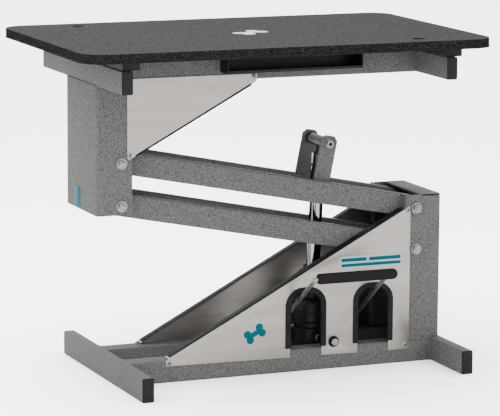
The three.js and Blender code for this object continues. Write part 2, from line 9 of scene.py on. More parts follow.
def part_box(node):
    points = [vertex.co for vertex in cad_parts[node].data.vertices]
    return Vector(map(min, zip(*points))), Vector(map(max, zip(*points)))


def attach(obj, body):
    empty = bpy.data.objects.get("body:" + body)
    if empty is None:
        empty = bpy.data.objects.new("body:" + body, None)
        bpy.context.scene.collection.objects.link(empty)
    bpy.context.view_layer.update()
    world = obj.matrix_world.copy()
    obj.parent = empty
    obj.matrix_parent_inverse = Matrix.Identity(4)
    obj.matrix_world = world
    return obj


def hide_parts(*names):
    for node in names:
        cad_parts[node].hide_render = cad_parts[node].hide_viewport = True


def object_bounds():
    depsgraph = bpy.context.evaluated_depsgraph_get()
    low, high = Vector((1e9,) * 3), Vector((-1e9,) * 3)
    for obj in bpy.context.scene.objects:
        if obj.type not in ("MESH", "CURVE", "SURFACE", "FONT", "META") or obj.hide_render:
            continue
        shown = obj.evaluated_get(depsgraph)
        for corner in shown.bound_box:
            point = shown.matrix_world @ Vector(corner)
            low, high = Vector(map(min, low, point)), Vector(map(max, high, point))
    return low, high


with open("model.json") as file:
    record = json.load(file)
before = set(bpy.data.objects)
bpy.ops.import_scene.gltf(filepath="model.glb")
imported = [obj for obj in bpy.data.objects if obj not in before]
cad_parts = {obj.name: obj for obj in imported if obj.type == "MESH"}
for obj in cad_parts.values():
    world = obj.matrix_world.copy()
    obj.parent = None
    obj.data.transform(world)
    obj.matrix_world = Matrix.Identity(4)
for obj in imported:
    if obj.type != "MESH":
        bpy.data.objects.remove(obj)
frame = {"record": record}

CAD_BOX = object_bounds()
MM = 0.001
BODIES = frame["record"]["behaviour"]["bodies"]
BODY_OF = {node: body for body, nodes in BODIES.items() for node in nodes}
SLOT_OF = {s["node"]: s["material_slot"] for s in frame["record"]["subparts"]}

SIDE_Y = 111
POST_WALL = 5
POST_LIP = 27
PANEL_OUT = 112.8
PANEL_T = 1.5
PANEL_LOW = (-252, 56.5)
PANEL_HIGH = (394, 397)
PANEL_RUN = PANEL_HIGH[0] - PANEL_LOW[0]
PANEL_RISE = PANEL_HIGH[1] - PANEL_LOW[1]
PANEL_EDGE = math.hypot(PANEL_RUN, PANEL_RISE)
PANEL_SLOPE = math.degrees(math.atan2(PANEL_RISE, PANEL_RUN))
FOLD_DEPTH = 27
FOLD_RADIUS = 3
ARCH_X = (122.2, 306.4)
ARCH_Z = 167
ARCH_FLAT = 8.2
ARCH_CUT = 42.6
ARCH_OUTER = 55.2
ARCH_INNER = 41
ARCH_FLOOR = 61
GROMMET = (198.5, 70)
GUSSET_LOW = (-340, 564)
GUSSET_HIGH = (-19, 735.5)
ARM_LENGTH = 805.3
ARM_ANGLE = 11.19
ARM_OUTER_Y = 82
TUBE_W = 28
TUBE_H = 56
PIVOT_SPACING = 104.8
RIGHT_PIVOT = (424, 395.8)
LEFT_PIVOT = (
    RIGHT_PIVOT[0] - ARM_LENGTH * math.cos(math.radians(ARM_ANGLE)),
    RIGHT_PIVOT[1] + ARM_LENGTH * math.sin(math.radians(ARM_ANGLE)),
)
LIFT_PIN = (249.6, 122.3)
EAR_HALF_W = 22
EAR_Y = (55, 61)
PUMP_PIVOT = (183, 70)
PUMP_TILT = 2.448
ROD_LENGTH = 390.6
ROD_NECK = 30
ROD_R = 17.5
BORE_R = 20.3
PEDAL_LEGS_X = (99, 296)
PEDAL_AXIS_Z = 95
PEDAL_REACH = 221
PEDAL_ANGLE = 36
PEDAL_BAR_R = 5.5
GRIP_R = 13.5
GRIP_BORE_R = 5.7
TABLE_CORNER = 60
TABLE_HOLE = (345, 270, 15.5)
FOOT_FACE_X = {"left": -347.6, "right": 468.6}
BEAM_END_X = {"left": -400.8, "right": 413.8}
POST_HEAD_Z = 743


# ---- mesh making ----

AXES = {
    "x": Matrix(((0, 0, 1), (1, 0, 0), (0, 1, 0))).to_4x4(),
    "y": Matrix(((1, 0, 0), (0, 0, -1), (0, 1, 0))).to_4x4(),
    "z": Matrix.Identity(4),
}


def extents(node):
    """A CAD node's box in millimetres, as ((x0, x1), (y0, y1), (z0, z1))."""
    low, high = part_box(node)
    return tuple((a / MM, b / MM) for a, b in zip(low, high))


def arc(cx, cy, radius, start, end, steps):
    points = []
    for i in range(steps + 1):
        a = math.radians(start + (end - start) * i / steps)
        points.append((cx + radius * math.cos(a), cy + radius * math.sin(a)))
    return points


def ring(cx, cy, radius, steps=40):
    return arc(cx, cy, radius, 0, 360, steps)[:-1]


def rounded(a, b, radius, steps=6):
    corners = (
        (a[1] - radius, b[0] + radius, -90),
        (a[1] - radius, b[1] - radius, 0),
        (a[0] + radius, b[1] - radius, 90),
        (a[0] + radius, b[0] + radius, 180),
    )
    points = []
    for x, y, start in corners:
        points += arc(x, y, radius, start, start + 90, steps)
    return points


def soften(points, radii, steps=5):
    """A polygon with its corners turned into arcs; radii holds one radius for each corner."""
    out = []
    count = len(points)
    for i, (p, radius) in enumerate(zip(points, radii)):
        here = Vector(p)
        back = Vector(points[i - 1]) - here
        ahead = Vector(points[(i + 1) % count]) - here
        if radius <= 0:
            out.append(tuple(here))
            continue
        half = back.angle(ahead) / 2
        reach = min(radius / math.tan(half), 0.49 * back.length, 0.49 * ahead.length)
        start = here + back.normalized() * reach
        end = here + ahead.normalized() * reach
        for k in range(steps + 1):
            t = k / steps
            point = start * (1 - t) ** 2 + here * (2 * t * (1 - t)) + end * t ** 2
            out.append(tuple(point))
    return out


def push(axis, loops, start, end, bevel=0.6, steps=2):
    """Pushes closed outlines along an axis, with eased edges. A loop inside another is a hole."""
    curve = bpy.data.curves.new("outline", "CURVE")
    curve.dimensions = "2D"
    curve.fill_mode = "BOTH"
    for points in loops:
        spline = curve.splines.new("POLY")
        spline.points.add(len(points) - 1)
        spline.use_cyclic_u = True
        for target, (x, y) in zip(spline.points, points):
            target.co = (x, y, 0, 1)
    curve.extrude = (end - start) / 2 - bevel
    curve.bevel_depth = bevel
    curve.bevel_resolution = steps
    curve.offset = -bevel
    holder = bpy.data.objects.new("outline", curve)
    bpy.context.scene.collection.objects.link(holder)
    bpy.context.view_layer.update()
    graph = bpy.context.evaluated_depsgraph_get()
    mesh = bpy.data.meshes.new_from_object(holder.evaluated_get(graph))
    bpy.data.objects.remove(holder)
    bpy.data.curves.remove(curve)
    middle = (start + end) / 2
    if axis == "y":
        middle = -middle
    mesh.transform(AXES[axis] @ Matrix.Translation((0, 0, middle)))
    return welded(mesh)


def welded(mesh, distance=1e-3):
    bm = bmesh.new()
    bm.from_mesh(mesh)
    bmesh.ops.remove_doubles(bm, verts=bm.verts, dist=distance)
    bmesh.ops.recalc_face_normals(bm, faces=bm.faces)
    bm.to_mesh(mesh)
    bm.free()
    mesh.materials.clear()
    return mesh


def lathe(profile, steps=64, at=(0, 0, 0), axis="z"):
    """Turns [radius, height] pairs, from the axis out and back to it, round an axis."""
    mesh = bpy.data.meshes.new("lathe")
    rows = []
    verts = []
    faces = []
    for radius, height in profile:
        if radius < 1e-6:
            rows.append([len(verts)])
            verts.append((0, 0, height))
            continue
        row = []
        for i in range(steps):
            a = 2 * math.pi * i / steps
            row.append(len(verts))
            verts.append((radius * math.cos(a), radius * math.sin(a), height))
        rows.append(row)
    for low, high in zip(rows, rows[1:]):
        for i in range(steps):
            j = (i + 1) % steps
            if len(low) == 1 and len(high) == 1:
                continue
            if len(low) == 1:
                faces.append((low[0], high[j], high[i]))
            elif len(high) == 1:
                faces.append((low[i], low[j], high[0]))
            else:
                faces.append((low[i], low[j], high[j], high[i]))
    mesh.from_pydata(verts, [], faces)
    turn = {
        "z": Matrix.Identity(4),
        "y": Matrix.Rotation(-math.pi / 2, 4, "X"),
        "x": Matrix.Rotation(math.pi / 2, 4, "Y"),
    }[axis]
    mesh.transform(Matrix.Translation(at) @ turn)
    return welded(mesh)


def rod(radius, start, end, at=(0, 0, 0), axis="z", ease=0.6):
    """A plain round bar with eased ends."""
    profile = [
        (0, start),
        (radius - ease, start),
        (radius - ease * 0.3, start + ease * 0.3),
        (radius, start + ease),
        (radius, end - ease),
        (radius - ease * 0.3, end - ease * 0.3),
        (radius - ease, end),
        (0, end),
    ]
    return lathe(profile, 48, at, axis)


def between(a, b, share):
    return (a[0] + (b[0] - a[0]) * share, a[1] + (b[1] - a[1]) * share)


def hexagon(cx, cy, across, turn=0):
    radius = across / math.sqrt(3)
    return [
        (
            cx + radius * math.cos(math.radians(60 * i + turn)),
            cy + radius * math.sin(math.radians(60 * i + turn)),
        )
        for i in range(6)
    ]


def sweep(points, radius, sides=20, radii=None):
    """A round bar along a path; radii scales it point by point."""
    curve = bpy.data.curves.new("path", "CURVE")
    curve.dimensions = "3D"
    spline = curve.splines.new("POLY")
    spline.points.add(len(points) - 1)
    for i, (target, point) in enumerate(zip(spline.points, points)):
        target.co = (*point, 1)
        target.radius = radii[i] if radii else 1
    curve.bevel_depth = radius
    curve.bevel_resolution = max(1, sides // 4 - 1)
    curve.use_fill_caps = True
    holder = bpy.data.objects.new("path", curve)
    bpy.context.scene.collection.objects.link(holder)
    bpy.context.view_layer.update()
    graph = bpy.context.evaluated_depsgraph_get()
    mesh = bpy.data.meshes.new_from_object(holder.evaluated_get(graph))
    bpy.data.objects.remove(holder)
    bpy.data.curves.remove(curve)
    return welded(mesh)


def joined(*meshes):
    bm = bmesh.new()
    for mesh in meshes:
        bm.from_mesh(mesh)
        bpy.data.meshes.remove(mesh)
    out = bpy.data.meshes.new("joined")
    bm.to_mesh(out)
    bm.free()
    return out


def mirrored(mesh):
    """The same mesh on the other side of the table's middle plane."""
    copy = mesh.copy()
    copy.transform(Matrix.Diagonal((1, -1, 1, 1)))
    copy.flip_normals()
    return copy


def turned(mesh, degrees, x, z):
    mesh.transform(Matrix.Translation((x, 0, z)) @ Matrix.Rotation(math.radians(degrees), 4, "Y"))
    return mesh


def show(name, mesh, material, body, replaces=(), sharp=38):
    mesh.transform(Matrix.Scale(MM, 4))
    mesh.shade_smooth()
    mesh.set_sharp_from_angle(angle=math.radians(sharp))
    mesh.name = name
    piece = bpy.data.objects.new(name, mesh)
    mesh.materials.append(material)
    bpy.context.scene.collection.objects.link(piece)
    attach(piece, body)
    if replaces:
        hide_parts(*replaces)
    return piece


def stand_for(node, mesh, sharp=38):
    """The fine piece that is shown in place of a CAD node."""
    slot = SLOT_OF[node]
    return show(f"{node}_fine", mesh, FINISH[slot], BODY_OF[node], (node,), sharp)


# ---- finishes ----

class Finish:
    """A material with the small helpers that its node recipes share."""

    def __init__(self, name, color, roughness, metallic=0.0):
        self.material = bpy.data.materials.new(name)
        self.material.use_nodes = True
        self.tree = self.material.node_tree
        self.shader = self.tree.nodes["Principled BSDF"]
        self.set("Base Color", (*color, 1))
        self.set("Roughness", roughness)
        self.set("Metallic", metallic)
        self.material.diffuse_color = (*color, 1)
        coords = self.node("ShaderNodeTexCoord")
        self.place = coords.outputs["Object"]

    def node(self, kind, **values):
        made = self.tree.nodes.new(kind)
        for key, value in values.items():
            setattr(made, key, value)
        return made

    def link(self, source, target):
        self.tree.links.new(source, target)

    def set(self, socket, value):
        self.shader.inputs[socket].default_value = value

    def stretched(self, scale):
        mapping = self.node("ShaderNodeMapping")
        mapping.inputs["Scale"].default_value = scale
        self.link(self.place, mapping.inputs["Vector"])
        return mapping.outputs["Vector"]

    def noise(self, scale, detail=3.0, roughness=0.5, vector=None):
        made = self.node("ShaderNodeTexNoise")
        made.inputs["Scale"].default_value = scale
        made.inputs["Detail"].default_value = detail
        made.inputs["Roughness"].default_value = roughness
        self.link(vector or self.place, made.inputs["Vector"])
        return made.outputs["Fac"]

    def cells(self, scale, smooth=0.6):
        made = self.node("ShaderNodeTexVoronoi", feature="SMOOTH_F1")
        made.inputs["Scale"].default_value = scale
        made.inputs["Smoothness"].default_value = smooth
        self.link(self.place, made.inputs["Vector"])
        return made.outputs["Distance"]

    def spread(self, value, low, high, to_low=0.0, to_high=1.0):
        made = self.node("ShaderNodeMapRange")
        made.inputs["From Min"].default_value = low
        made.inputs["From Max"].default_value = high
        made.inputs["To Min"].default_value = to_low
        made.inputs["To Max"].default_value = to_high
        self.link(value, made.inputs["Value"])
        return made.outputs["Result"]

    def mix(self, share, first, second):
        made = self.node("ShaderNodeMix", data_type="RGBA")
        colors = [s for s in made.inputs if s.type == "RGBA"]
        for socket, color in zip(colors, (first, second)):
            if isinstance(color, tuple):
                socket.default_value = (*color, 1)
            else:
                self.link(color, socket)
        self.link(share, made.inputs["Factor"])
        return [s for s in made.outputs if s.type == "RGBA"][0]

    def math(self, operation, first, second):
        made = self.node("ShaderNodeMath", operation=operation)
        for socket, value in zip(made.inputs, (first, second)):
            if isinstance(value, (int, float)):
                socket.default_value = value
            else:
                self.link(value, socket)
        return made.outputs["Value"]

    def color(self, source):
        self.link(source, self.shader.inputs["Base Color"])

    def roughness(self, source):
        self.link(source, self.shader.inputs["Roughness"])

    def bump(self, height, strength, depth_mm):
        made = self.node("ShaderNodeBump")
        made.inputs["Strength"].default_value = strength
        made.inputs["Distance"].default_value = depth_mm * MM
        self.link(height, made.inputs["Height"])
        self.link(made.outputs["Normal"], self.shader.inputs["Normal"])


def hammered_grey():
    f = Finish("hammered_grey_enamel", (0.046, 0.0452, 0.0438), 0.45)
    f.set("Specular IOR Level", 0.004)
    dimples = f.cells(330, smooth=0.9)
    grain = f.noise(420, 2)
    patches = f.noise(5, 3)
    f.color(f.mix(f.spread(grain, 0.34, 0.66), (0.026, 0.0256, 0.0248), (0.066, 0.065, 0.063)))
    f.roughness(f.spread(patches, 0.3, 0.7, 0.36, 0.5))
    f.bump(f.math("ADD", dimples, f.math("MULTIPLY", grain, 0.6)), 0.45, 0.4)
    return f.material


def brushed_stainless():
    f = Finish("brushed_stainless_sheet", (0.165, 0.157, 0.149), 0.36, 1.0)
    grain = f.noise(1, 4, 0.6, f.stretched((9, 500, 900)))
    broad = f.noise(1, 3, 0.5, f.stretched((3, 60, 60)))
    clouds = f.noise(6, 3)
    f.color(f.mix(f.spread(broad, 0.3, 0.7), (0.158, 0.147, 0.138), (0.184, 0.172, 0.161)))
    rough = f.spread(grain, 0.25, 0.75, 0.3, 0.5)
    f.roughness(f.math("ADD", rough, f.spread(clouds, 0.3, 0.7, -0.04, 0.04)))
    f.bump(grain, 0.12, 0.2)
    return f.material


def black_plastic():
    f = Finish("moulded_black_plastic", (0.003, 0.003, 0.0035), 0.5)
    f.set("Specular IOR Level", 0.08)
    f.roughness(f.spread(f.noise(60, 3), 0.3, 0.7, 0.42, 0.56))
    f.bump(f.noise(1100, 2), 0.25, 0.15)
    return f.material


def black_rubber():
    f = Finish("edge_rubber", (0.003, 0.003, 0.003), 0.68)
    f.set("Specular IOR Level", 0.07)
    wear = f.spread(f.noise(35, 4), 0.35, 0.7)
    f.color(f.mix(wear, (0.0015, 0.0015, 0.0015), (0.005, 0.005, 0.0048)))
    f.roughness(f.spread(f.noise(160, 3), 0.3, 0.7, 0.58, 0.78))
    f.bump(f.noise(900, 2), 0.2, 0.12)
    return f.material


def zinc_steel():
    f = Finish("bright_zinc_steel", (0.12, 0.122, 0.125), 0.26, 1.0)
    f.color(f.mix(f.spread(f.noise(60, 3), 0.3, 0.7), (0.1, 0.1005, 0.102), (0.15, 0.15, 0.147)))
    f.roughness(f.spread(f.noise(90, 4), 0.3, 0.7, 0.3, 0.4))
    f.bump(f.noise(700, 2), 0.08, 0.1)
    return f.material


def chrome():
    f = Finish("hard_chrome", (0.3, 0.302, 0.305), 0.08, 1.0)
    # the dark and bright streaks along the chrome are painted reflections of the room, laid into the base
    # colour
    reflection_streaks = f.noise(1, 2, 0.5, f.stretched((120, 120, 2)))
    f.color(f.mix(f.spread(reflection_streaks, 0.46, 0.56), (0.016, 0.016, 0.017), (0.16, 0.161, 0.163)))
    rings = f.noise(1, 3, 0.5, f.stretched((4, 4, 700)))
    f.roughness(f.spread(rings, 0.3, 0.7, 0.05, 0.12))
    return f.material


def black_paint():
    f = Finish("satin_black_enamel", (0.004, 0.004, 0.0045), 0.4)
    f.set("Specular IOR Level", 0.075)
    f.roughness(f.spread(f.noise(50, 4), 0.3, 0.7, 0.34, 0.48))
    f.bump(f.noise(500, 3), 0.15, 0.2)
    return f.material


def foam():
    f = Finish("closed_cell_foam", (0.007, 0.007, 0.0075), 0.9)
    f.set("Specular IOR Level", 0.04)
    pores = f.cells(900, smooth=0.3)
    # the pits of the pores are painted darker: painted shade in the cells
    f.color(f.mix(f.spread(pores, 0.1, 0.5), (0.001, 0.001, 0.0011), (0.0055, 0.0055, 0.0055)))
    f.bump(pores, 0.5, 0.5)
    return f.material


def batten_wood():
    f = Finish("black_stained_batten", (0.003, 0.003, 0.003), 0.6)
    f.set("Specular IOR Level", 0.08)
    grain = f.noise(1, 4, 0.6, f.stretched((260, 14, 260)))
    f.color(f.mix(f.spread(grain, 0.3, 0.7), (0.0015, 0.0015, 0.0015), (0.008, 0.0078, 0.0075)))
    f.bump(grain, 0.25, 0.3)
    return f.material


def table_top():
    """A pebbled rubber skin on the faces, and a rough speckled band round the edge."""
    f = Finish("pebbled_table_rubber", (0.012, 0.0114, 0.0106), 0.7)
    f.set("Specular IOR Level", 0.0)
    pebbles = f.cells(520, smooth=0.5)
    grit = f.noise(1500, 2)
    facing = f.node("ShaderNodeSeparateXYZ")
    normal = f.node("ShaderNodeNewGeometry")
    f.link(normal.outputs["True Normal"], facing.inputs["Vector"])
    flat = f.math("ABSOLUTE", facing.outputs["Z"], 0.0)
    on_edge = f.spread(flat, 0.55, 0.8, 1.0, 0.0)
    skin = f.mix(f.spread(f.noise(380, 3), 0.35, 0.68), (0.0065, 0.0063, 0.0061), (0.032, 0.031, 0.0298))
    specks = f.spread(f.noise(560, 4, 0.75), 0.53, 0.64)
    edge = f.mix(specks, (0.0015, 0.0015, 0.0015), (0.04, 0.0385, 0.037))
    f.color(f.mix(on_edge, skin, edge))
    f.roughness(f.spread(on_edge, 0.0, 1.0, 0.5, 0.8))
    f.bump(f.math("ADD", pebbles, f.math("MULTIPLY", grit, 0.5)), 0.45, 0.5)
    return f.material


def sticker(name, color):
    f = Finish(name, color, 0.4)
    f.set("Specular IOR Level", 0.01)
    f.color(f.mix(f.spread(f.noise(40, 3), 0.3, 0.7), color, tuple(c * 0.86 for c in color)))
    f.roughness(f.spread(f.noise(300, 2), 0.3, 0.7, 0.3, 0.42))
    return f.material


FINISH = {
    "hammered_grey": hammered_grey(),
    "brushed_stainless": brushed_stainless(),
    "black_plastic": black_plastic(),
    "black_rubber": black_rubber(),
    "zinc_steel": zinc_steel(),
    "chrome": chrome(),
    "black_paint": black_paint(),
    "foam": foam(),
    "batten_wood": batten_wood(),
    "table_top": table_top(),
}
TEAL = sticker("teal_vinyl", (0.0, 0.045, 0.056))
WHITE = sticker("white_vinyl", (0.2, 0.202, 0.2))


# ---- shared pieces ----

def tube_section(a, b, wall=2.2, radius=4.0):
    inner = rounded((a[0] + wall, a[1] - wall), (b[0] + wall, b[1] - wall), radius - wall + 0.6)
    return [rounded(a, b, radius), inner]


def cross_member(node):
    x, y, z = extents(node)
    stand_for(node, push("y", tube_section(x, z), y[0], y[1], 0.3))


def end_cap(node):
    """A moulded cap: domed face, raised rim and a plug inside the tube."""
    x, y, z = extents(node)
    front = y[0] < 0
    outer = y[0] if front else y[1]
    sign = 1 if front else -1
    inner = outer + sign * 3.5
    low, high = sorted((outer + sign * 0.9, inner))
    face = push("y", [rounded(x, z, 4)], low, high, 0.6)
    rim = 3.2
    crown = rounded((x[0] + rim, x[1] - rim), (z[0] + rim, z[1] - rim), 3)
    low, high = sorted((outer, outer + sign * 1.4))
    dome = push("y", [crown], low, high, 0.55, 3)
    inset = 3.2
    plug = rounded((x[0] + inset, x[1] - inset), (z[0] + inset, z[1] - inset), 2)
    low, high = sorted((inner, y[1] if front else y[0]))
    stand_for(node, joined(face, dome, push("y", [plug], low, high, 0.3)))


def long_tube(node):
    x, y, z = extents(node)
    stand_for(node, push("x", tube_section(y, z), x[0], x[1], 0.3))


def weld(name, points, body, radius=2.4):
    """A rippled weld bead laid along a path."""
    path = []
    sizes = []
    for a, b in zip(points, points[1:]):
        a, b = Vector(a), Vector(b)
        steps = max(2, int((b - a).length / 1.1))
        for i in range(steps):
            path.append(a.lerp(b, i / steps))
    path.append(Vector(points[-1]))
    for i in range(len(path)):
        sizes.append(1 + 0.16 * math.sin(i * 1.9) + 0.06 * math.sin(i * 0.61 + 1))
    sizes[0] = sizes[-1] = 0.5
    show(name, sweep(path, radius, 12, sizes), FINISH["hammered_grey"], body, sharp=60)


def hex_head(x, z, y0, y1, across, turn=0):
    """A hexagonal head or nut with eased edges."""
    low, high = sorted((y0, y1))
    return push("y", [hexagon(x, z, across, turn)], low, high, 0.5)


def washer(x, z, y0, y1, radius, hole=0.0):
    loops = [ring(x, z, radius, 48)]
    if hole:
        loops.append(ring(x, z, hole, 32))
    low, high = sorted((y0, y1))
    return push("y", loops, low, high, 0.5)


def head_stamp(x, z, y, radius, sign):
    """The shallow turned face on a bolt head."""
    low, high = sorted((y, y + sign * 0.5))
    return push("y", [ring(x, z, radius, 40)], low, high, 0.2)


def bolt_end(x, z, seat, tip, radius=6.0):
    """The end of a threaded shank, with thread grooves and a centre dimple."""
    sign = 1 if tip > seat else -1
    length = abs(tip - seat)
    profile = [(0, 0), (radius - 0.7, 0)]
    height = 0.4
    while height < length - 1.6:
        profile += [(radius, height + 0.4), (radius - 0.7, height + 1.0)]
        height += 1.2
    profile += [(radius - 0.2, length - 0.9), (radius - 1.1, length), (2.2, length), (0, length - 1.4)]
    return lathe([(r, sign * h) for r, h in profile], 40, (x, seat, z), "y")


def pivot_bolt(node, x, z):
    face = SIDE_Y + 0.3
    parts = [
        rod(7, -face - 3, face + 13, (x, 0, z), "y", 1.2),
        washer(x, z, -face - 2.6, -face, 14),
        washer(x, z, face, face + 2.6, 14),
        hex_head(x, z, -face - 10.4, -face - 2.6, 19.5, 12),
        bolt_end(x, z, -face - 10.3, -face - 16.3),
        hex_head(x, z, face + 2.6, face + 13, 19.5, 41),
        bolt_end(x, z, face + 12.9, face + 17),
    ]
    stand_for(node, joined(*parts), sharp=30)


def panel_screw(node):
    """A domed head whose hex socket looks deep and dark: a thin black hex sheet in it is painted shade."""
    x, y, z = extents(node)
    cx = (x[0] + x[1]) / 2
    cz = (z[0] + z[1]) / 2
    seat = PANEL_OUT + 0.3
    profile = [
        (0, 1.1), (2.2, 1.1), (2.6, 2.1), (3.3, 2.35), (4.6, 2.0), (5.8, 1.2), (6.5, 0.4), (6.6, 0),
        (1.9, 0), (1.9, -3.4), (0, -3.4),
    ]
    head = lathe([(r, -h) for r, h in profile], 40, (cx, -seat, cz), "y")
    stand_for(node, head, sharp=50)
    # a thin black hex sheet on the socket's floor: painted shade standing for the depth of the socket
    socket_shade = push("y", [hexagon(cx, cz, 4.6, 20)], -seat - 1.35, -seat - 1.05, 0.1, 1)
    show(f"{node}_recess", socket_shade, FINISH["black_paint"], BODY_OF[node])


# ---- base ----

def build_feet():
    for side in ("left", "right"):
        cross_member(f"{side}_foot")
        for end in ("front", "rear"):
            end_cap(f"{side}_foot_{end}_cap")
    long_tube("front_base_rail")
    long_tube("rear_base_rail")
    for name, sign in (("front", -1), ("rear", 1)):
        inner = sign * (SIDE_Y - 52)
        for side, x in FOOT_FACE_X.items():
            outer = sign * SIDE_Y
            path = [(x, outer, 6), (x, outer, 54), (x, outer - sign * 3, 56.4), (x, inner, 56.4)]
            weld(f"{name}_rail_{side}_weld", path, "base", 2.0)


def channel(x, y, wall, open_side, bend=7.0, lip=0.0):
    """A folded channel's section, open to the left or to the right, with an optional lip."""
    inner = bend - wall
    points = [(x[1], -y), (x[1], y), (x[0], y)]
    radii = [bend, bend, bend if lip else 0.8]
    if lip:
        points += [(x[0], y - lip), (x[0] + wall, y - lip), (x[0] + wall, y - wall)]
        radii += [0.8, 0.8, inner]
    else:
        points += [(x[0], y - wall)]
        radii += [0.8]
    points += [(x[1] - wall, y - wall), (x[1] - wall, -y + wall)]
    radii += [inner, inner]
    if lip:
        points += [(x[0] + wall, -y + wall), (x[0] + wall, -y + lip), (x[0], -y + lip)]
        radii += [inner, 0.8, 0.8]
    else:
        points += [(x[0], -y + wall)]
        radii += [0.8]
    points += [(x[0], -y)]
    radii += [bend if lip else 0.8]
    if open_side == "right":
        points = [(x[0] + x[1] - a, b) for a, b in points]
    return soften(points, radii)


def build_right_post():
    x, y, z = extents("right_post")
    section = channel(x, y[1], POST_WALL, "left", lip=POST_LIP)
    foot = extents("right_foot")
    above_foot = foot[2][1] + 0.3
    body = push("z", [section], above_foot, z[1] - 0.2, 0.2)
    short = (x[0], foot[0][0] - 0.3)
    lower = push("z", [channel(short, y[1], POST_WALL, "left", 0.9, POST_LIP)], z[0], above_foot, 0.1, 1)
    corners = soften(
        [(x[0] + 42, y[0]), (x[1], y[0]), (x[1], y[1]), (x[0] + 42, y[1])],
        [0.5, 7, 7, 0.5],
    )
    top = push("z", [corners], z[1] - 4, z[1], 0.5)
    stand_for("right_post", joined(body, lower, top))
    base = above_foot + 0.4
    path = [
        (x[1] - 4, -SIDE_Y + 0.6, base),
        (x[1] - 0.4, -SIDE_Y + 4, base),
        (x[1] - 0.4, SIDE_Y - 4, base),
        (x[1] - 4, SIDE_Y - 0.6, base),
    ]
    weld("right_post_foot_weld", path, "base", 2.2)


def arch_path(centre, half, bottom, steps=16):
    """An arch's line from its left sill over the flat top to its right sill."""
    r = half - ARCH_FLAT
    path = [(centre - half, bottom)]
    path += arc(centre - ARCH_FLAT, ARCH_Z, r, 180, 90, steps)
    path += arc(centre + ARCH_FLAT, ARCH_Z, r, 90, 0, steps)
    path.append((centre + half, bottom))
    return path


def panel_edge(share, drop=0.0):
    """A point of the slanted edge, dropped square to it."""
    x, z = between(PANEL_LOW, PANEL_HIGH, share)
    return (x + drop * PANEL_RISE / PANEL_EDGE, z - drop * PANEL_RUN / PANEL_EDGE)


def panel_outline(arches=True):
    points = [(-252, 42)]
    if arches:
        for centre in ARCH_X:
            bottom = 42 - 7 * (centre + 252) / 659
            points += arch_path(centre, ARCH_CUT, bottom)
    points += [(407, 35), (407, 398), (405.5, 400.4), (401, 402)]
    points += [panel_edge(0.9945), panel_edge(0.9935, FOLD_RADIUS), panel_edge(0.0125, FOLD_RADIUS)]
    points += [panel_edge(0.011), (-249.5, 56.8), (-252, 54.5)]
    return points


def panel_fold():
    """The bend and the inward flange along the slanted edge."""
    r = FOLD_RADIUS
    out = -PANEL_OUT
    section = [(out, -r)]
    section += arc(out + r, -r, r, 180, 90, 8)
    section += [(out + FOLD_DEPTH, 0), (out + FOLD_DEPTH, -PANEL_T)]
    section += arc(out + r, -r, r - PANEL_T, 90, 180, 6)
    mesh = push("x", [section], 0.012 * PANEL_EDGE, 0.993 * PANEL_EDGE, 0.02, 1)
    return turned(mesh, -PANEL_SLOPE, *PANEL_LOW)


def flange_reflection_strip():
    """A black strip laid on the flange; it is painted reflection, standing for the dark room that the
    stainless flange mirrors.
    """
    section = rounded((-PANEL_OUT + 4, -PANEL_OUT + FOLD_DEPTH - 0.5), (0.3, 2.3), 0.9, 4)
    mesh = push("x", [section], 0.018 * PANEL_EDGE, 0.988 * PANEL_EDGE, 0.2, 1)
    return turned(mesh, -PANEL_SLOPE, *PANEL_LOW)


def build_panels():
    span = (-PANEL_OUT, -PANEL_OUT + PANEL_T)
    front = push("y", [panel_outline(), ring(*GROMMET, 9)], *span, 0.2, 1)
    rear = push("y", [panel_outline(arches=False)], *span, 0.2, 1)
    stand_for("front_side_panel", joined(front, panel_fold()))
    stand_for("rear_side_panel", mirrored(joined(rear, panel_fold())))
    for place in ("left", "lower_right", "upper_right"):
        panel_screw(f"front_panel_{place}_screw")


def fold_shade_strip(a, b):
    """A thin U-shaped black rubber strip over a sheet's straight edge; on the gussets it is painted shade,
    standing for the dark line along the lower fold.
    """
    length = math.hypot(b[0] - a[0], b[1] - a[1])
    lip = 2.2
    half = PANEL_T / 2 + 1.7
    gap = PANEL_T / 2 + 0.25
    section = [(-lip, -half + 0.3), (-lip + 0.6, -half)]
    section += [(min(u, 2.0), v) for u, v in arc(0.2, 0, half, -90, 90, 12)]
    section += [(-lip + 0.6, half), (-lip, half - 0.3), (-lip, gap), (0.3, gap), (0.3, -gap), (-lip, -gap)]
    mesh = push("x", [[(v, u) for u, v in section]], 0, length, 0.15, 1)
    angle = math.degrees(math.atan2(b[1] - a[1], b[0] - a[0]))
    turned(mesh, -angle, a[0], a[1])
    mesh.transform(Matrix.Translation((0, -PANEL_OUT + PANEL_T / 2, 0)))
    return mesh


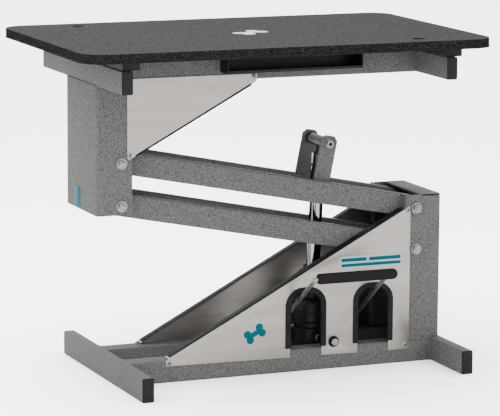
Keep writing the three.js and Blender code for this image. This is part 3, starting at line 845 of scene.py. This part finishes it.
def arch_strip(centre):
    """The rubber strip round one arch, swept from sill to sill."""
    path = arch_path(centre, ARCH_CUT, ARCH_FLOOR, 20)
    path.insert(1, (centre - ARCH_CUT, (ARCH_FLOOR + ARCH_Z) / 2))
    path.insert(-1, (centre + ARCH_CUT, (ARCH_FLOOR + ARCH_Z) / 2))
    out = ARCH_OUTER - ARCH_CUT
    inn = ARCH_CUT - ARCH_INNER
    half = PANEL_T / 2 + 2.6
    section = [
        (out, -half + 1.6), (out - 0.8, -half + 0.4), (out - 2.2, -half),
        (-inn + 1.6, -half), (-inn + 0.5, -half + 0.7), (-inn, -half + 1.8),
        (-inn, half - 1.8), (-inn + 0.5, half - 0.7), (-inn + 1.6, half),
        (out - 2.2, half), (out - 0.8, half - 0.4), (out, half - 1.6),
        (out, PANEL_T / 2 + 0.2), (0.4, PANEL_T / 2 + 0.2),
        (0.4, -PANEL_T / 2 - 0.2), (out, -PANEL_T / 2 - 0.2),
    ]
    y0 = -PANEL_OUT + PANEL_T / 2
    verts = []
    faces = []
    count = len(section)
    for x, z in path:
        flat = max(-ARCH_FLAT, min(ARCH_FLAT, x - centre))
        normal = Vector((x - centre - flat, max(0, z - ARCH_Z))).normalized()
        for u, v in section:
            verts.append((x + normal.x * u, y0 + v, z + normal.y * u))
    for i in range(len(path) - 1):
        for k in range(count):
            a = i * count + k
            b = i * count + (k + 1) % count
            faces.append((a, b, b + count, a + count))
    faces.append(tuple(range(count)))
    faces.append(tuple(reversed(range((len(path) - 1) * count, len(path) * count))))
    mesh = bpy.data.meshes.new("arch")
    mesh.from_pydata(verts, [], faces)
    return welded(mesh)


def build_trims():
    # the black strips on the slanted flanges are painted reflection of the dark room
    stand_for("front_panel_edge_trim", flange_reflection_strip())
    stand_for("rear_panel_edge_trim", mirrored(flange_reflection_strip()))
    for side, centre in zip(("left", "right"), ARCH_X):
        stand_for(f"{side}_arch_trim", arch_strip(centre), sharp=50)


def build_grommet():
    x, z = GROMMET
    seat = PANEL_OUT + 0.3
    profile = [
        (5.4, 0), (13.8, 0), (14.2, 0.6), (13.9, 1.7), (12.8, 2.4),
        (11.0, 2.6), (6.4, 2.6), (5.4, 2.2), (5.4, 0),
    ]
    flange = lathe([(r, -h) for r, h in profile], 56, (x, -seat, z), "y")
    stand_for("panel_bolt_grommet", flange, sharp=50)
    head = -seat - 2.9
    parts = [
        hex_head(x, z, head - 6.5, head, 17, 8),
        head_stamp(x, z, head - 6.5, 6.8, -1),
        rod(5, head - 0.1, -SIDE_Y + 12, (x, 0, z), "y", 0.8),
        hex_head(x, z, -SIDE_Y + 2.7, -SIDE_Y + 10, 17),
    ]
    stand_for("panel_hex_bolt", joined(*parts), sharp=30)


def build_pump_mount():
    for side in ("front", "rear"):
        node = f"{side}_pump_bracket"
        x, y, z = extents(node)
        hole = ring(PUMP_PIVOT[0], PUMP_PIVOT[1], 8.3)
        stand_for(node, push("y", [rounded(x, z, 10), hole], y[0], y[1], 0.6))
    x, y, z = extents("pump_pivot_pin")
    at = (PUMP_PIVOT[0], 0, PUMP_PIVOT[1])
    collars = [rod(12, a, b, at, "y", 1.0) for a, b in ((y[0], y[0] + 4.6), (y[1] - 4.6, y[1]))]
    stand_for("pump_pivot_pin", joined(rod(8, y[0], y[1], at, "y", 1.0), *collars))


# ---- arms ----

def arm_rail(y0, y1):
    """A rectangular tube whose ends are closed by round-nosed plates."""
    r = TUBE_H / 2
    inset = 3.6
    tube = push(
        "x",
        [rounded((y0, y1), (-r, r), 4), rounded((y0 + 2.2, y1 - 2.2), (-r + 2.2, r - 2.2), 2.4)],
        -ARM_LENGTH + inset,
        -inset,
        0.3,
    )
    ends = []
    for x, start in ((0, -90), (-ARM_LENGTH, 90)):
        shift = -inset if x == 0 else inset
        lobe = arc(x, 0, r, start, start + 180, 28)
        lobe = lobe + [(x + shift, lobe[-1][1]), (x + shift, lobe[0][1])]
        hole = ring(x, 0, 7.4, 36)
        ends.append(push("y", [lobe, hole], y0, y0 + 2.4, 0.4))
        ends.append(push("y", [lobe, hole], y1 - 2.4, y1, 0.4))
    return joined(tube, *ends)


def build_arms():
    sleeve = SIDE_Y - POST_WALL - 0.6
    wall = [
        (7.3, -sleeve), (13.4, -sleeve), (14, -sleeve + 0.6), (14, sleeve - 0.6),
        (13.4, sleeve), (7.3, sleeve), (7.3, -sleeve),
    ]
    bar_end = ARM_OUTER_Y - TUBE_W + 1
    pivots = {"upper_arm_frame": RIGHT_PIVOT[1], "lower_arm_frame": RIGHT_PIVOT[1] - PIVOT_SPACING}
    for node, z in pivots.items():
        front = arm_rail(-ARM_OUTER_Y, -ARM_OUTER_Y + TUBE_W)
        parts = [front, mirrored(front)]
        for x in (0, -ARM_LENGTH):
            parts.append(lathe(wall, 48, (x, 0, 0), "y"))
        for x in (-95, -ARM_LENGTH + 95):
            parts.append(rod(14, -bar_end, bar_end, (x, 0, 0), "y", 0.3))
        stand_for(node, turned(joined(*parts), ARM_ANGLE, RIGHT_PIVOT[0], z))


def on_arm(mesh):
    """Moves a mesh from the upper arm's own frame to its place."""
    return turned(mesh, ARM_ANGLE, *RIGHT_PIVOT)


def on_arm_point(along, y, above):
    a = math.radians(ARM_ANGLE)
    x = RIGHT_PIVOT[0] + along * math.cos(a) + above * math.sin(a)
    z = RIGHT_PIVOT[1] - along * math.sin(a) + above * math.cos(a)
    return (x, y, z)


def build_ears():
    along, above = LIFT_PIN
    foot = TUBE_H / 2 + 0.3
    top = above + 20.5
    points = [
        (-along - EAR_HALF_W, foot), (-along + EAR_HALF_W, foot), (-along + EAR_HALF_W, top - 11),
        (-along + 12, top), (-along - 12, top), (-along - EAR_HALF_W, top - 11),
    ]
    outline = soften(points, [0.8, 0.8, 4, 4, 4, 4])
    hole = ring(-along, above, 8.3)
    for name, y in (("front", (-EAR_Y[1], -EAR_Y[0])), ("rear", EAR_Y)):
        stand_for(f"{name}_lift_ear", on_arm(push("y", [outline, hole], *y, 0.8)))
        outer = y[0] if name == "front" else y[1]
        ends = (1 - EAR_HALF_W, EAR_HALF_W - 1)
        bead = [on_arm_point(-along + x, outer, foot + 0.6) for x in ends]
        weld(f"{name}_ear_weld", bead, "upper_arm", 2.2)
    at = (-along, 0, above)
    out = 61.3
    socket = [hexagon(-along, above, 17, 17), ring(-along, above, 4.6, 24)]
    pin = [
        rod(10, -54.7, 54.7, at, "y", 0.8),
        rod(8, -out - 3, out + 13.6, at, "y", 1.2),
        washer(-along, above, -out - 2.5, -out, 11),
        push("y", socket, -out - 9.8, -out - 2.5, 0.5),
        push("y", [ring(-along, above, 5.0, 24)], -out - 7.4, -out - 2.6, 0.2),
    ]
    stand_for("lift_pin", on_arm(joined(*pin)), sharp=30)
    # a thin black disc on the floor of the pin's hex socket: painted shade in the socket
    socket_shade = push("y", [ring(-along, above, 4.4, 24)], -out - 7.75, -out - 7.45, 0.1)
    show("lift_pin_socket_shade", on_arm(socket_shade), FINISH["black_paint"], "upper_arm")
    bored = [hexagon(-along, above, 21, 5), ring(-along, above, 8.3)]
    nut = [
        washer(-along, above, out, out + 2.5, 13, 8.3),
        push("y", bored, out + 2.5, out + 12, 0.5),
    ]
    stand_for("lift_pin_nut", on_arm(joined(*nut)), sharp=30)


# ---- pump, rod and pedal ----

def on_pump(mesh):
    return turned(mesh, PUMP_TILT, *PUMP_PIVOT)


def build_pump():
    """Two castings: a body with two thin flanges, and a cylinder with a gland at its top."""
    casting = [
        (0, -32), (38, -32), (40, -31), (43.4, -28), (44, -27), (44, -20.5), (45, -18.5), (49, -16.6),
        (50, -15), (50, 16), (50.6, 17), (61.2, 17.4), (62, 18.2), (62, 20.4), (61.2, 21.2), (50.6, 21.5),
        (50, 22.5), (50, 30), (50.6, 31), (61.2, 31.4), (62, 32.2), (62, 35.2), (61.2, 36), (50.6, 36.5),
        (50, 37.5), (50, 58), (49, 59), (49, 61), (50, 62), (50, 84), (49, 87), (45, 93.4), (44, 94),
        (BORE_R, 94), (BORE_R, 34), (0, 34),
    ]
    stand_for("pump_body", on_pump(lathe(casting, 72)), sharp=30)
    barrel = [
        (BORE_R, 94.3), (31.6, 94.3), (33, 95.6), (33, 150), (33.6, 151), (37, 152), (37, 154.4), (36.2, 155),
        (37, 155.6), (37, 160), (36, 161), (32.6, 163.6), (31, 164.4), (26, 166), (26, 173.6), (25, 174.6),
        (21.2, 174.6), (BORE_R, 174), (BORE_R, 94.3),
    ]
    stand_for("pump_cylinder", on_pump(lathe(barrel, 72)), sharp=30)
    wiper = [
        (18.2, 170.4), (22.4, 170.4), (23.4, 172), (22.6, 174.6), (19.4, 176), (18.2, 175.4), (18.2, 170.4),
    ]
    seal = on_pump(lathe(wiper, 56))
    show("rod_wiper_seal", seal, FINISH["black_rubber"], "pump", sharp=50)


def lift_pin_place():
    x, _, z = on_arm_point(-LIFT_PIN[0], 0, LIFT_PIN[1])
    return x, z


def build_piston():
    place = lift_pin_place()
    top = -ROD_NECK - 0.3
    shaft = [
        (0, -ROD_LENGTH), (14.6, -ROD_LENGTH), (ROD_R, -ROD_LENGTH + 3),
        (ROD_R, top - 1.2), (16.6, top), (0, top),
    ]
    stand_for("piston_rod", turned(lathe(shaft, 72), PUMP_TILT, *place), sharp=30)
    groove = [(17.45, -64), (17.62, -63.8), (17.62, -58.2), (17.45, -58), (17.45, -64)]
    band = turned(lathe(groove, 56), PUMP_TILT, *place)
    show("rod_dark_band", band, FINISH["black_rubber"], "piston", sharp=50)
    boss = [(10.4, -53.5), (13, -53.5), (14, -52.5), (14, 52.5), (13, 53.5), (10.4, 53.5), (10.4, -53.5)]
    neck = [(0, -ROD_NECK), (8.6, -ROD_NECK), (9, -ROD_NECK + 0.6), (9, -12), (0, -12)]
    eye = joined(lathe(boss, 56, axis="y"), lathe(neck, 48))
    stand_for("piston_rod_end", turned(eye, PUMP_TILT, *place), sharp=30)


def pedal_point(x, share=1.0):
    """A point of the pedal's bars, from the hinge (0) to the handle (1)."""
    run = PEDAL_REACH * share
    return Vector((x, -run, PEDAL_AXIS_Z + run * math.tan(math.radians(PEDAL_ANGLE))))


def build_pedal():
    left, right = PEDAL_LEGS_X
    top = pedal_point(left)
    down = (pedal_point(left, 0) - top).normalized()
    across = Vector((1, 0, 0))
    bend = 13
    path = [pedal_point(left, 0)]
    for i in range(13):
        t = math.radians(90 * i / 12)
        centre = top + (down + across) * bend
        path.append(centre - across * bend * math.cos(t) - down * bend * math.sin(t))
    path.append(pedal_point(315))
    parts = [
        sweep(path, PEDAL_BAR_R, 24),
        sweep([pedal_point(right, 0), pedal_point(right)], PEDAL_BAR_R, 24),
        rod(8, left - 6, right + 6, (0, 0, PEDAL_AXIS_Z), "x", 1.2),
    ]
    stand_for("foot_pedal_bar", joined(*parts), sharp=50)
    y, z = pedal_point(0)[1:]
    start, end = 104, 321
    r, bore = GRIP_R, GRIP_BORE_R
    lip = r - bore
    turns = [math.radians(a) for a in range(10, 90, 10)]
    profile = [(bore, start)]
    profile += [(bore + lip * math.sin(a), start + lip - lip * math.cos(a)) for a in turns]
    profile += [(r, start + lip), (r, end - r)]
    profile += [(r * math.cos(a), end - r + r * math.sin(a)) for a in turns]
    profile += [(0, end), (0, end - 6), (bore, end - 6), (bore, start)]
    stand_for("foot_pedal_grip", lathe(profile, 56, (0, y, z), "x"), sharp=50)


# ---- carriage ----

def build_left_post():
    x, y, z = extents("left_post")
    body = push("z", [channel(x, y[1], POST_WALL, "right")], z[0], z[1], 0.4)
    top = push("z", [rounded((x[0] + 1, x[1]), (y[0] + 1, y[1] - 1), 2)], z[1] - 4, z[1] - 0.1, 0.4)
    stand_for("left_post", joined(body, top))


def build_pivot_bolts():
    for side, (x, z) in (("left", LEFT_PIVOT), ("right", RIGHT_PIVOT)):
        pivot_bolt(f"{side}_upper_pivot_bolt", x, z)
        pivot_bolt(f"{side}_lower_pivot_bolt", x, z - PIVOT_SPACING)


def build_top_frame():
    for side in ("left", "right"):
        cross_member(f"{side}_cross_tube")
        for end in ("front", "rear"):
            end_cap(f"{side}_cross_tube_{end}_cap")
        node = f"{side}_batten"
        x, y, z = extents(node)
        stand_for(node, push("y", [rounded(x, z, 2)], y[0], y[1], 0.8))
    long_tube("front_beam")
    long_tube("rear_beam")
    for name, sign in (("front", -1), ("rear", 1)):
        outer = sign * SIDE_Y
        for side, x in BEAM_END_X.items():
            path = [(x, outer, 747), (x, outer, 796), (x, outer - sign * 27, 798.6)]
            weld(f"{name}_beam_{side}_weld", path, "carriage", 2.0)
        path = [(-426, outer, POST_HEAD_Z), (-350, outer, POST_HEAD_Z)]
        weld(f"{name}_post_head_weld", path, "carriage", 2.2)
    path = [(-430, -104, POST_HEAD_Z), (-430, 104, POST_HEAD_Z)]
    weld("left_post_side_weld", path, "carriage", 1.8)


def build_gussets():
    points = [(-352, 563.5), (-347, 560.5), GUSSET_LOW, GUSSET_HIGH, (-14.5, 741), (-14.5, 757), (-352, 757)]
    outline = soften(points, [1, 2, 2, 3, 2, 2, 2])
    sheet = push("y", [outline], -PANEL_OUT, -PANEL_OUT + PANEL_T, 0.2, 1)
    rear = mirrored(sheet)
    stand_for("front_gusset_panel", sheet)
    stand_for("rear_gusset_panel", rear)
    # the black strip along the gusset's lower edge paints the dark shade line of the fold
    strip = fold_shade_strip(between(GUSSET_LOW, GUSSET_HIGH, 0.97), between(GUSSET_LOW, GUSSET_HIGH, 0.03))
    rear_strip = mirrored(strip)
    stand_for("front_gusset_edge_trim", strip)
    stand_for("rear_gusset_edge_trim", rear_strip)
    for place in ("lower", "right"):
        panel_screw(f"front_gusset_{place}_screw")


def build_tray():
    """Folded sheet: a floor with a rolled lip, two ends with rounded front corners, and a back."""
    x, y, z = extents("accessory_tray")
    wall = 2
    side = soften(
        [(y[0], z[0]), (y[1], z[0]), (y[1], z[1]), (y[0], z[1])],
        [4, 3, 1, 3],
    )
    parts = []
    for a in (x[0], x[1] - wall):
        parts.append(push("x", [side], a, a + wall, 0.4))
    floor = soften(
        [
            (y[0], z[0]), (y[1], z[0]), (y[1], z[1]), (y[1] - wall, z[1]), (y[1] - wall, z[0] + wall),
            (y[0] + wall, z[0] + wall), (y[0] + wall, z[0] + 8), (y[0], z[0] + 8),
        ],
        [3, 3, 0.4, 0.4, 2, 1.5, 0.6, 0.6],
    )
    parts.append(push("x", [floor], x[0] + 0.2, x[1] - 0.2, 0.3))
    stand_for("accessory_tray", joined(*parts))


def build_tabletop():
    """The slab, a hair smaller than its skin's lip at the bottom of the edge."""
    x, y, z = extents("tabletop")
    hx, hy, hr = TABLE_HOLE
    holes = [ring(hx, -hy, hr, 48), ring(-hx, hy, hr, 48)]
    inset = 1.2
    inner_x = (x[0] + inset, x[1] - inset)
    inner_y = (y[0] + inset, y[1] - inset)
    inner = rounded(inner_x, inner_y, TABLE_CORNER - inset, 24)
    slab = push("z", [inner, *holes], z[0] + 2.6, z[1] - 0.3, 2.4, 4)
    lip = push("z", [rounded(x, y, TABLE_CORNER, 24), *holes], z[0], z[0] + 3.4, 0.8)
    stand_for("tabletop", joined(slab, lip), sharp=60)


# ---- plain marks ----

def bone(length, radius, shaft, cx=0.0, cy=0.0, turn=0.0):
    """The outline of a plain bone: two knobs at each end of a bar."""
    drop = radius * 0.82
    start = 180 + math.degrees(math.asin((drop - shaft) / radius))
    stop = -math.degrees(math.asin(drop / radius))
    knob = arc(length / 2 - radius, drop, radius, start, stop, 18)
    upper = knob + [(a, -b) for a, b in reversed(knob)][1:]
    points = upper + [(-a, -b) for a, b in upper]
    c, s = math.cos(math.radians(turn)), math.sin(math.radians(turn))
    return [(cx + a * c - b * s, cy + a * s + b * c) for a, b in points]


def mark(name, axis, outline, level, material, body):
    thickness = 0.25
    low, high = sorted((level, level + (thickness if axis == "z" else -thickness)))
    show(name, push(axis, [outline], low, high, 0.06, 1), material, body)


def build_marks():
    """Plain shapes where the real table carries printed stickers."""
    face = -PANEL_OUT - 0.02
    mark("panel_bone_mark", "y", bone(56, 10, 6.5, -16, 106, 28), face, TEAL, "base")
    cx, cz = 299, 268.8
    banner = rounded((cx - 88, cx + 88), (cz - 16, cz + 16), 9)
    mark("panel_banner", "y", banner, face, WHITE, "base")
    raised = face - 0.26
    blocks = {
        "upper_left": ((-82, -12), (2, 11)),
        "upper_right": ((-6, 82), (2, 11)),
        "lower": ((-82, 82), (-11, -3)),
    }
    for name, (x, z) in blocks.items():
        block = rounded((cx + x[0], cx + x[1]), (cz + z[0], cz + z[1]), 3.5)
        mark(f"panel_banner_{name}_block", "y", block, raised, TEAL, "base")
    top = CAD_BOX[1][2] / MM
    mark("tabletop_bone_mark", "z", bone(92, 17, 11, 10, -10, 35), top - 0.29, WHITE, "carriage")
    strip = push("x", [rounded((8, 52), (430, 480), 3)], -430.2, -429.9, 0.06, 1)
    show("post_teal_strip", strip, TEAL, "carriage")


# ---- camera, light and floor ----

def set_camera():
    azimuth, elevation, roll = math.radians(-22.476), math.radians(9.80), math.radians(0.339)
    distance = 7.27
    aim = Vector((0.0156, 0.0, 0.4028))
    back = Vector((
        math.sin(azimuth) * math.cos(elevation),
        -math.cos(azimuth) * math.cos(elevation),
        math.sin(elevation),
    ))
    data = bpy.data.cameras.new("camera")
    data.sensor_width = 36
    data.lens = 2903 / 500 * 36
    data.clip_end = 200
    camera = bpy.data.objects.new("camera", data)
    right = back.cross(Vector((0, 0, 1))) * -1
    right.normalize()
    up = back.cross(right)
    turned_right = right * math.cos(roll) + up * math.sin(roll)
    turned_up = up * math.cos(roll) - right * math.sin(roll)
    rotation = Matrix((turned_right, turned_up, back)).transposed().to_4x4()
    camera.matrix_world = Matrix.Translation(aim + back * distance) @ rotation
    bpy.context.scene.collection.objects.link(camera)
    bpy.context.scene.camera = camera


def area_light(name, place, aim, size, power):
    data = bpy.data.lights.new(name, "AREA")
    data.shape = "RECTANGLE"
    data.size, data.size_y = size
    data.energy = power
    light = bpy.data.objects.new(name, data)
    light.location = place
    direction = Vector(aim) - Vector(place)
    light.rotation_euler = direction.to_track_quat("-Z", "Y").to_euler()
    bpy.context.scene.collection.objects.link(light)


def light_studio():
    """A white room that grows dimmer towards the ground, with three soft lights."""
    world = bpy.data.worlds.new("studio")
    world.use_nodes = True
    tree = world.node_tree
    background = tree.nodes["Background"]
    coords = tree.nodes.new("ShaderNodeTexCoord")
    split = tree.nodes.new("ShaderNodeSeparateXYZ")
    tree.links.new(coords.outputs["Generated"], split.inputs["Vector"])
    ramp = tree.nodes.new("ShaderNodeValToRGB")
    stops = ((0.0, 0.45), (0.25, 0.75), (0.6, 1.0))
    ramp.color_ramp.elements.new(0.5)
    for element, (place, level) in zip(ramp.color_ramp.elements, stops):
        element.position = place
        element.color = (level, level, level, 1)
    tree.links.new(split.outputs["Z"], ramp.inputs["Fac"])
    tree.links.new(ramp.outputs["Color"], background.inputs["Color"])
    background.inputs["Strength"].default_value = 5.4
    bpy.context.scene.world = world
    area_light("overhead_softbox", (-0.6, 0.4, 3.4), (0, 0, 0.5), (3.0, 2.2), 260)
    area_light("left_softbox", (-3.6, -2.0, 1.9), (0, 0, 0.4), (2.0, 2.4), 80)
    area_light("front_fill", (1.6, -4.2, 1.6), (0.1, 0, 0.4), (2.4, 1.8), 20)


def lay_floor():
    mesh = bpy.data.meshes.new("floor")
    reach = 60
    corners = [(-reach, -reach, 0), (reach, -reach, 0), (reach, reach, 0), (-reach, reach, 0)]
    mesh.from_pydata(corners, [], [(0, 1, 2, 3)])
    floor = bpy.data.objects.new("floor", mesh)
    f = Finish("pale_floor", (0.93, 0.93, 0.93), 0.7)
    f.roughness(f.spread(f.noise(3, 3), 0.3, 0.7, 0.66, 0.76))
    mesh.materials.append(f.material)
    bpy.context.scene.collection.objects.link(floor)


set_camera()
light_studio()
lay_floor()
build_feet()
build_right_post()
build_panels()
build_trims()
build_grommet()
build_pump_mount()
build_arms()
build_ears()
build_pump()
build_piston()
build_pedal()
build_left_post()
build_pivot_bolts()
build_top_frame()
build_gussets()
build_tray()
build_tabletop()
build_marks()
